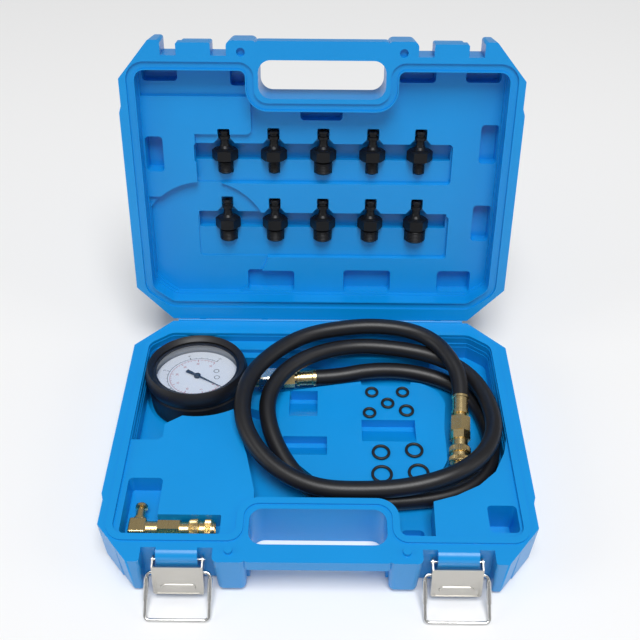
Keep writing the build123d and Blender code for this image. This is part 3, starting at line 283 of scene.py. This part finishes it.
dial_face = finish("dial_enamel", DIAL_WHITE, 0.5, bump=0.01, variation=0.03)
pointer_black = finish("pointer_enamel", PRINT_BLACK, 0.35, bump=0.01)
print_black = finish("dial_print_black", PRINT_BLACK, 0.6, bump=0.0)
print_red = finish("dial_print_red", PRINT_RED, 0.6, bump=0.0)

FINISHES = {
    "case": plastic,
    "hinge": plastic,
    "stainless": steel,
    "wire": wire,
    "rubber": rubber,
    "hose": hose_rubber,
    "gauge_cup": cup_painted_dial_reflection,
    "gauge_steel": dark_steel,
    "glass": clear_glass(),
    "dial": dial_face,
    "pointer": pointer_black,
    "brass": brass,
    "nickel": nickel,
    "black_oxide": oxide,
}
EDGE_ROUNDING = {
    "case": 0.9,
    "stainless": 0.25,
    "brass": 0.3,
    "nickel": 0.3,
    "black_oxide": 0.35,
}


def dress_nodes():
    """Every CAD node gets its finish; nodes whose finish is listed in EDGE_ROUNDING also get softened
    edges.
    """
    for part in frame["record"]["subparts"]:
        piece = nodes[part["node"]]
        slot = part["material_slot"]
        piece.data.materials.clear()
        piece.data.materials.append(FINISHES[slot])
        if slot in EDGE_ROUNDING:
            soft = piece.modifiers.new("edges", "BEVEL")
            soft.width = EDGE_ROUNDING[slot] * MM
            soft.segments = 2
            soft.limit_method = "ANGLE"
            soft.angle_limit = radians(35)
            soft.use_clamp_overlap = True
            soft.harden_normals = False


def link(name, data, material, body):
    made = bpy.data.objects.new(name, data)
    scene.collection.objects.link(made)
    if not data.materials:
        data.materials.append(material)
    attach(made, body)
    return made


def hose():
    """The hose as one smooth curve along its route."""
    curve = bpy.data.curves.new("hose_curve", "CURVE")
    curve.dimensions = "3D"
    curve.resolution_u = 8
    curve.bevel_depth = HOSE_DIAMETER / 2
    curve.bevel_resolution = 8
    curve.use_fill_caps = True
    spline = curve.splines.new("NURBS")
    spline.points.add(len(HOSE_ROUTE) - 1)
    for point, place in zip(spline.points, HOSE_ROUTE):
        point.co = (*[c * MM for c in place], 1.0)
    spline.order_u = 3
    spline.use_endpoint_u = True
    piece = link("rubber_hose", curve, hose_rubber, "base")
    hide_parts("hose")


def flat_mesh(name, faces_points, material, body, to_place):
    """Thin flat shapes from lists of local outline points."""
    mesh = bpy.data.meshes.new(name)
    shape = bmesh.new()
    for outline in faces_points:
        shape.faces.new([shape.verts.new(to_place(p)) for p in outline])
    shape.to_mesh(mesh)
    shape.free()
    return link(name, mesh, material, body)


def on_dial(point):
    """A point of the dial, in metres from its centre, just above the enamel."""
    return GAUGE_CENTRE + GAUGE_X * point[0] + GAUGE_Y * point[1] + GAUGE_Z * (DIAL_LEVEL + DIAL_PRINT_LIFT)


def scale_angle(share):
    """The angle on the dial of a share of the scale, which runs clockwise."""
    return radians(SCALE_START - SCALE_SWEEP * share)


def tick(angle, inner, outer, width):
    """A radial mark."""
    along = Vector((cos(angle), sin(angle)))
    across = Vector((-sin(angle), cos(angle))) * width / 2
    return [along * inner - across, along * outer - across, along * outer + across, along * inner + across]


def arc_band(inner, outer, start, end, steps):
    """A curved line made of short quads."""
    quads = []
    for step in range(steps):
        a = start + (end - start) * step / steps
        b = start + (end - start) * (step + 1) / steps
        quads.append(
            [
                Vector((cos(a), sin(a))) * inner,
                Vector((cos(b), sin(b))) * inner,
                Vector((cos(b), sin(b))) * outer,
                Vector((cos(a), sin(a))) * outer,
            ]
        )
    return quads


def written(name, words, size, origin, right, up, material, body):
    """Plain digits lying in a plane."""
    font = bpy.data.curves.new(name, "FONT")
    font.body = words
    font.size = size
    font.align_x = "CENTER"
    font.align_y = "CENTER"
    font.extrude = 0.00001
    piece = bpy.data.objects.new(name, font)
    scene.collection.objects.link(piece)
    out = right.cross(up)
    piece.matrix_world = Matrix(
        (
            (right.x, up.x, out.x, origin.x),
            (right.y, up.y, out.y, origin.y),
            (right.z, up.z, out.z, origin.z),
            (0, 0, 0, 1),
        )
    )
    font.materials.append(material)
    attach(piece, body)
    return piece


def scale_marks(divisions, arc, starts, ends, widths):
    """A scale's arc and its radial marks."""
    marks = arc_band(arc[0] * MM, arc[1] * MM, scale_angle(0), scale_angle(1), ARC_STEPS)
    for step in range(divisions * MINOR_STEPS + 1):
        kind = 0 if step % MINOR_STEPS == 0 else 1
        angle = scale_angle(step / divisions / MINOR_STEPS)
        marks.append(tick(angle, starts[kind] * MM, ends[kind] * MM, widths[kind] * MM))
    return marks


def dial():
    """Two printed scales with plain numbers; the dial's top points to the left."""
    black = scale_marks(BLACK_DIVISIONS, BLACK_ARC, BLACK_MARK_STARTS, BLACK_MARK_ENDS, BLACK_MARK_WIDTHS)
    circle = arc_band((CIRCLE_RADIUS - CIRCLE_LINE) * MM, CIRCLE_RADIUS * MM, 0, 2 * pi, CIRCLE_STEPS)
    for place in CIRCLE_PLACES:
        black += [[Vector(place) * MM + corner for corner in quad] for quad in circle]
    flat_mesh("dial_scale_black", black, print_black, "base", on_dial)
    red = scale_marks(RED_DIVISIONS, RED_ARC, RED_MARK_STARTS, RED_MARK_ENDS, RED_MARK_WIDTHS)
    flat_mesh("dial_scale_red", red, print_red, "base", on_dial)
    rows = (
        ("dial_number", BLACK_DIVISIONS, 1, 27.2, 3.0, print_black),
        ("dial_red_number", RED_DIVISIONS, 5, 15.9, 2.7, print_red),
    )
    for name, divisions, worth, radius, size, ink in rows:
        for step in range(divisions + 1):
            angle = scale_angle(step / divisions)
            place = on_dial((radius * MM * cos(angle), radius * MM * sin(angle)))
            written(f"{name}_{step}", str(step * worth), size * MM, place, GAUGE_Y, -GAUGE_X, ink, "base")


def on_lid(x, height, depth):
    """A point of the lid from its place across, up from the hinge and into the lid, in millimetres."""
    return HINGE + Vector((x, 0, 0)) * MM + LID_UP * height * MM - LID_OUT * depth * MM


def lid_numbers():
    """Flat digits in the lid's own colour under both rows of adapters."""
    across = Vector((1, 0, 0))
    for row, height in enumerate(LID_NUMBER_HEIGHTS):
        for count, x in enumerate(ADAPTER_X):
            name = f"lid_number_{row}_{count}"
            label = str(len(ADAPTER_X) - count)
            place = on_lid(x, height, LID_NUMBER_DEPTHS[row] - LID_NUMBER_LIFT)
            written(name, label, LID_NUMBER_SIZE * MM, place, across, LID_UP, plastic, "lid")


def lathe(name, rings, centre, axis, material, body, sides=40, teeth=0, tooth=0.0):
    """A turned skin from (distance along the axis, radius) pairs, with teeth round it where asked."""
    axis = axis.normalized()
    across = axis.orthogonal().normalized()
    around = axis.cross(across)
    mesh = bpy.data.meshes.new(name)
    shape = bmesh.new()
    loops = []
    count = 2 * teeth if teeth else sides
    for distance, radius in rings:
        loop = []
        for step in range(count):
            angle = 2 * pi * step / count
            reach = radius - (tooth if teeth and step % 2 else 0.0)
            place = centre + axis * distance * MM + (across * cos(angle) + around * sin(angle)) * reach * MM
            loop.append(shape.verts.new(place))
        loops.append(loop)
    for low, high in zip(loops, loops[1:]):
        for step in range(count):
            after = (step + 1) % count
            shape.faces.new((low[step], low[after], high[after], high[step]))
    shape.faces.new(loops[0][::-1])
    shape.faces.new(loops[-1])
    shape.to_mesh(mesh)
    shape.free()
    return link(name, mesh, material, body)


def threads():
    """Thread ridges on every adapter, standing proud of the plain cylinder by the relief."""
    for row, height in enumerate(ROW_HEIGHTS):
        for count, x in enumerate(ADAPTER_X):
            crest = THREAD_RADII[row][count] + THREAD_RELIEF
            root = THREAD_RADII[row][count] - THREAD_RELIEF
            rings = [(-THREAD_END + THREAD_RUN_IN, root)]
            while rings[-1][0] < -THREAD_STOP:
                at = rings[-1][0]
                rings += [(at + THREAD_PITCH / 2, crest), (at + THREAD_PITCH, root)]
            place = on_lid(x, height, ADAPTER_DEPTH)
            lathe(f"thread_{row}_{count}", rings, place, LID_UP, oxide, "lid", sides=32)


def knurls():
    """Toothed grips on both release sleeves."""
    for name, centre, axis, sleeve_start, length, radius, body in GRIPS:
        for part, (start, end, rise, finish_rise) in enumerate(GRIP_BANDS):
            rings = [
                (sleeve_start + start * length, radius - 0.25 + rise * 0.5),
                (sleeve_start + start * length + 0.3, radius + 0.1 + rise * 0.4),
                (sleeve_start + end * length - 0.3, radius + 0.1 + finish_rise * 0.6),
                (sleeve_start + end * length, radius - 0.25 + finish_rise * 0.6),
            ]
            grip = f"{name}_grip_{part}"
            lathe(grip, rings, centre, axis, brass, body, teeth=GRIP_TEETH, tooth=GRIP_TOOTH)


def look_along(camera_place, pitch, yaw, roll):
    """A camera matrix from its place and angles."""
    ahead = Vector((sin(yaw) * cos(pitch), cos(yaw) * cos(pitch), -sin(pitch)))
    level = Vector((cos(yaw), -sin(yaw), 0.0))
    above = level.cross(ahead)
    right = level * cos(roll) + above * sin(roll)
    up = -level * sin(roll) + above * cos(roll)
    return Matrix(
        (
            (right.x, up.x, -ahead.x, camera_place.x),
            (right.y, up.y, -ahead.y, camera_place.y),
            (right.z, up.z, -ahead.z, camera_place.z),
            (0, 0, 0, 1),
        )
    )


def camera():
    """The photograph's viewpoint."""
    lens = bpy.data.cameras.new("camera")
    lens.sensor_width = 36.0
    lens.lens = CAMERA_LENS
    lens.clip_start = 0.01
    made = bpy.data.objects.new("camera", lens)
    scene.collection.objects.link(made)
    made.matrix_world = look_along(
        Vector(CAMERA_PLACE) * MM, radians(CAMERA_PITCH), radians(CAMERA_YAW), radians(CAMERA_ROLL)
    )
    scene.camera = made


def soft_light(name, place, target, size, power, colour=(1.0, 1.0, 1.0)):
    """A square soft box aimed at a point."""
    lamp = bpy.data.lights.new(name, "AREA")
    lamp.shape = "SQUARE"
    lamp.size = size
    lamp.energy = power
    lamp.color = colour
    made = bpy.data.objects.new(name, lamp)
    scene.collection.objects.link(made)
    made.location = place
    made.rotation_euler = (Vector(target) - Vector(place)).to_track_quat("-Z", "Y").to_euler()


def studio():
    """A pale floor and a white sky, with soft boxes above and at both sides."""
    bpy.ops.mesh.primitive_plane_add(size=8.0, location=(0, 0, -0.0002))
    floor = bpy.context.object
    floor.name = "floor"
    floor.data.materials.append(finish("pale_floor", (0.92, 0.92, 0.92), 0.8, bump=0.0, variation=0.0))
    world = bpy.data.worlds.new("sky")
    scene.world = world
    world.use_nodes = True
    sky = world.node_tree.nodes["Background"]
    sky.inputs["Color"].default_value = (1.0, 1.0, 1.0, 1.0)
    sky.inputs["Strength"].default_value = SKY_STRENGTH
    soft_light("top_box", (0.2, -1.2, 3.8), (0, 0.02, 0.03), 2.0, 130.0)
    soft_light("left_box", (-2.2, -0.6, 1.2), (0, 0, 0.05), 1.2, 8.0)
    soft_light("right_box", (2.2, -0.6, 1.2), (0, 0, 0.05), 1.2, 6.0)
    scene.view_settings.view_transform = "Standard"


dress_nodes()
hose()
dial()
lid_numbers()
threads()
knurls()
camera()
studio()
